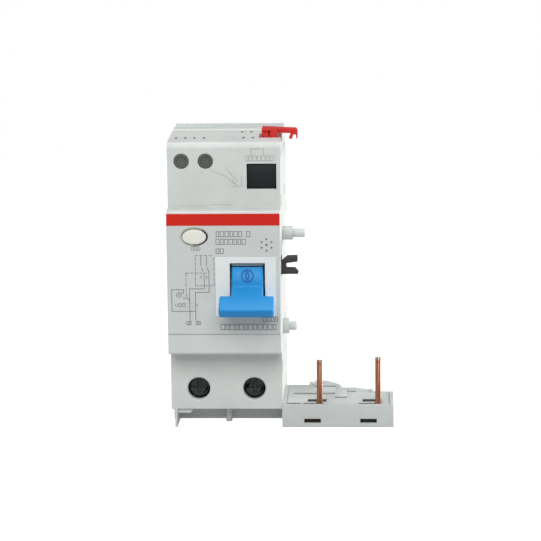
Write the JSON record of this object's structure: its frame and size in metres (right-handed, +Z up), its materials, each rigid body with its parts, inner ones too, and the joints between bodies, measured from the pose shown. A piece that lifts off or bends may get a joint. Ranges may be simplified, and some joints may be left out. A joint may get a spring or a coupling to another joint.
{
  "type": "residual current device",
  "caption": "Modular earth leakage trip block that clips beside a rail-mounted breaker, with a toggle, a test button, cage terminals and a pin wing that reaches under the breaker.",
  "frame": {"origin": "middle of the face that seats on the 35 mm rail", "axes": "+X right as the user faces the toggle, -Y out of the front, +Y into the rail, +Z up"},
  "size_m": [0.07, 0.0685, 0.0934],
  "materials": {
    "body_plastic": "fine matt moulded finish",
    "rivet_steel": "zinc plated",
    "label_film": "satin printed film",
    "red_stripe": "satin",
    "black_plastic": "smooth",
    "grey_plastic": "matt",
    "blue_plastic": "satin moulded",
    "zinc_steel": "zinc plated",
    "spring_steel": "bright wire",
    "dark_plastic": "matt",
    "winding_copper": "enamelled copper wire",
    "cream_plastic": "satin",
    "contact_brass": "bare",
    "board_laminate": "glass laminate",
    "resistor_ceramic": "glazed",
    "core_alloy": "wound strip core",
    "clip_plastic": "matt moulded",
    "red_plastic": "satin moulded",
    "bare_copper": "bare copper",
    "dark_screw": "black passivated",
    "wire_sleeve": "PVC sleeve"
  },
  "bodies": {
    "case": {"housing": "body_plastic", "side_cover": "body_plastic", "housing_rivets": "rivet_steel", "nose_label": "label_film", "nose_stripe": "red_stripe", "window_insert": "black_plastic", "blank_plugs": "grey_plastic", "toggle_pin": "zinc_steel", "toggle_spring": "spring_steel", "mechanism_frame": "zinc_steel", "relay_case": "dark_plastic", "relay_coil": "winding_copper", "test_spring": "spring_steel", "test_contact": "contact_brass", "circuit_board": "board_laminate", "test_resistor": "resistor_ceramic", "toroid_case": "dark_plastic", "toroid_core": "core_alloy", "toroid_winding": "winding_copper", "din_clip_spring": "spring_steel", "latch_pin": "zinc_steel", "wing_base": "body_plastic", "wing_cover": "body_plastic", "wing_busbars": "bare_copper", "terminal_bar_left": "contact_brass", "terminal_bar_right": "contact_brass", "conductor_left": "wire_sleeve", "conductor_right": "wire_sleeve", "contact_pin_left": "bare_copper", "contact_pin_right": "bare_copper"},
    "toggle": {"toggle": "blue_plastic"},
    "trip_lever": {"trip_fork": "black_plastic", "trip_shaft": "zinc_steel"},
    "relay_plunger": {"relay_plunger": "zinc_steel"},
    "test_button": {"test_button": "cream_plastic"},
    "din_clip": {"din_clip": "clip_plastic"},
    "locking_latch": {"locking_latch": "red_plastic"},
    "screw_left": {"terminal_screw_left": "dark_screw"},
    "screw_right": {"terminal_screw_right": "dark_screw"},
    "cage_left": {"clamp_cage_left": "zinc_steel"},
    "cage_right": {"clamp_cage_right": "zinc_steel"}
  },
  "joints": [
    {"name": "toggle_throw", "type": "hinge", "parent": "case", "child": "toggle", "pos_m": [0.0074, -0.043, -0.001], "axis": [-1, 0, 0], "range_deg": [0, 45], "stiffness_Nm_per_rad": 0.02},
    {"name": "trip_swing", "type": "hinge", "parent": "case", "child": "trip_lever", "pos_m": [0.01, -0.027, 0.004], "axis": [-1, 0, 0], "range_deg": [0, 12]},
    {"name": "relay_stroke", "type": "slide", "parent": "case", "child": "relay_plunger", "axis": [0, 0, -1], "range_m": [0, 0.0015], "stiffness_N_per_m": 150},
    {"name": "test_press", "type": "slide", "parent": "case", "child": "test_button", "axis": [0, 1, 0], "range_m": [0, 0.0015], "stiffness_N_per_m": 900, "deforming": ["test_spring"]},
    {"name": "clip_release", "type": "slide", "parent": "case", "child": "din_clip", "axis": [0, 0, -1], "range_m": [0, 0.004], "stiffness_N_per_m": 900, "deforming": ["din_clip_spring"]},
    {"name": "latch_lift", "type": "hinge", "parent": "case", "child": "locking_latch", "pos_m": [0.0127, -0.03, 0.0424], "axis": [0, -1, 0], "range_deg": [0, 25]},
    {"name": "screw_turn_left", "type": "hinge", "parent": "case", "child": "screw_left", "pos_m": [-0.00875, -0.038, -0.0353], "axis": [0, 1, 0], "range_deg": [0, 1620]},
    {"name": "cage_slide_left", "type": "slide", "parent": "case", "child": "cage_left", "axis": [0, -1, 0], "range_m": [0, 0.00361]},
    {"name": "screw_turn_right", "type": "hinge", "parent": "case", "child": "screw_right", "pos_m": [0.00875, -0.038, -0.0353], "axis": [0, 1, 0], "range_deg": [0, 1620]},
    {"name": "cage_slide_right", "type": "slide", "parent": "case", "child": "cage_right", "axis": [0, -1, 0], "range_m": [0, 0.00361]}
  ],
  "couplings": [
    {"joint": "trip_swing", "follows": "toggle_throw", "ratio": 0.26667},
    {"joint": "cage_slide_left", "follows": "screw_turn_left", "m_per_rad": 0.00012732},
    {"joint": "cage_slide_right", "follows": "screw_turn_right", "m_per_rad": 0.00012732}
  ]
}
